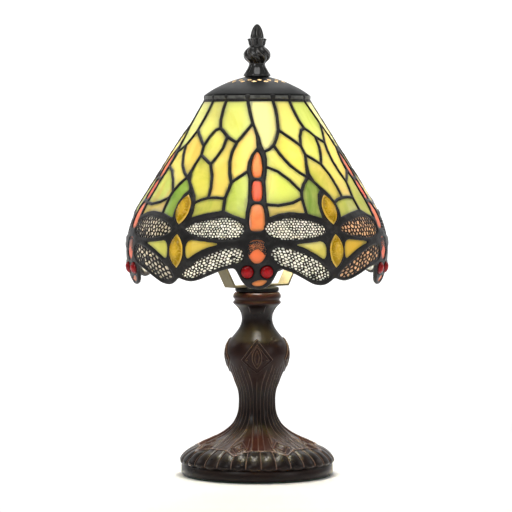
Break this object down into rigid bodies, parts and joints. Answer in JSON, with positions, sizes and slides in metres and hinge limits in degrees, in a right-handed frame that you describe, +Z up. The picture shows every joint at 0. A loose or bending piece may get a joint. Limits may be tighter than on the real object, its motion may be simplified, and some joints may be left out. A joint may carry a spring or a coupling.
{
  "type": "stained glass table lamp",
  "caption": "Table lamp with a leaded art-glass dragonfly shade on a bell-shaped bronze-finish base; shade, finial and bulb turn and lift off.",
  "frame": {"origin": "on the table, on the column's axis, at the underside of the felt pad", "axes": "+Z up the column; the front dragonfly faces -Y, and +X is to the right of somebody facing it"},
  "size_m": [0.2026, 0.2075, 0.3468],
  "materials": {
    "bronze": "dark brown bronze patina, satin, lighter on the worn ridges",
    "blackened": "blackened metal and lead, satin",
    "green_glass": "opalescent art glass, cream to lime green, streaky, gloss",
    "wing_glass": "rippled clear glass under a pierced metal overlay",
    "amber_glass": "polished amber cabochon",
    "ruby_glass": "polished ruby cabochon",
    "steel": "pressed strip, lightly brushed",
    "brass": "plain brass",
    "zinc": "zinc plated",
    "phenolic": "black phenolic moulding",
    "porcelain": "white glazed porcelain",
    "bulb_glass": "frosted bulb glass",
    "felt": "green felt"
  },
  "bodies": {
    "root": {"base_casting": "bronze", "felt_pad": "felt", "cover_plate": "steel", "rod_washer": "zinc", "rod_nut": "zinc", "threaded_rod": "zinc", "cable_bush": "phenolic", "top_collar": "blackened", "harp": "steel", "harp_stud": "zinc", "harp_stud_nut": "zinc", "holder_lock_nut": "brass", "holder_cup": "phenolic", "holder_shell": "phenolic", "holder_core": "porcelain", "screw_contact": "brass", "centre_contact": "brass"},
    "shade_hub": {"cap_washer": "phenolic"},
    "shade": {"vented_cap": "blackened", "shade_top_ring": "blackened", "background_panel_1": "green_glass", "dragonfly_panel_1": "wing_glass", "upper_amber_gem_1": "amber_glass", "lower_amber_gem_1": "amber_glass", "left_ruby_eye_1": "ruby_glass", "right_ruby_eye_1": "ruby_glass", "background_panel_2": "green_glass", "dragonfly_panel_2": "wing_glass", "upper_amber_gem_2": "amber_glass", "lower_amber_gem_2": "amber_glass", "left_ruby_eye_2": "ruby_glass", "right_ruby_eye_2": "ruby_glass", "background_panel_3": "green_glass", "dragonfly_panel_3": "wing_glass", "upper_amber_gem_3": "amber_glass", "lower_amber_gem_3": "amber_glass", "left_ruby_eye_3": "ruby_glass", "right_ruby_eye_3": "ruby_glass", "background_panel_4": "green_glass", "dragonfly_panel_4": "wing_glass", "upper_amber_gem_4": "amber_glass", "lower_amber_gem_4": "amber_glass", "left_ruby_eye_4": "ruby_glass", "right_ruby_eye_4": "ruby_glass", "background_panel_5": "green_glass", "dragonfly_panel_5": "wing_glass", "upper_amber_gem_5": "amber_glass", "lower_amber_gem_5": "amber_glass", "left_ruby_eye_5": "ruby_glass", "right_ruby_eye_5": "ruby_glass"},
    "finial_core": {"finial_washer": "blackened"},
    "finial": {"finial": "blackened"},
    "bulb_core": {"bulb_tip_contact": "zinc"},
    "bulb": {"bulb_insulator": "phenolic", "bulb_screw_cap": "brass", "bulb_envelope": "bulb_glass", "bulb_stem": "bulb_glass"}
  },
  "joints": [
    {"name": "shade_lift", "type": "slide", "parent": "root", "child": "shade_hub", "axis": [0, 0, 1], "range_m": [0, 0.17]},
    {"name": "shade_turn", "type": "hinge", "parent": "shade_hub", "child": "shade", "pos_m": [0, 0, 0.295], "axis": [0, 0, 1], "continuous": true},
    {"name": "finial_rise", "type": "slide", "parent": "shade_hub", "child": "finial_core", "axis": [0, 0, 1], "range_m": [0, 0.008]},
    {"name": "finial_turn", "type": "hinge", "parent": "finial_core", "child": "finial", "pos_m": [0, 0, 0.31], "axis": [0, 0, 1], "range_deg": [0, 2880]},
    {"name": "bulb_rise", "type": "slide", "parent": "root", "child": "bulb_core", "axis": [0, 0, 1], "range_m": [0, 0.00987]},
    {"name": "bulb_turn", "type": "hinge", "parent": "bulb_core", "child": "bulb", "pos_m": [0, 0, 0.175], "axis": [0, 0, 1], "range_deg": [0, 1260]}
  ],
  "couplings": [
    {"joint": "finial_turn", "follows": "finial_rise", "rad_per_m": 6283.2},
    {"joint": "bulb_turn", "follows": "bulb_rise", "rad_per_m": 2228.1}
  ]
}
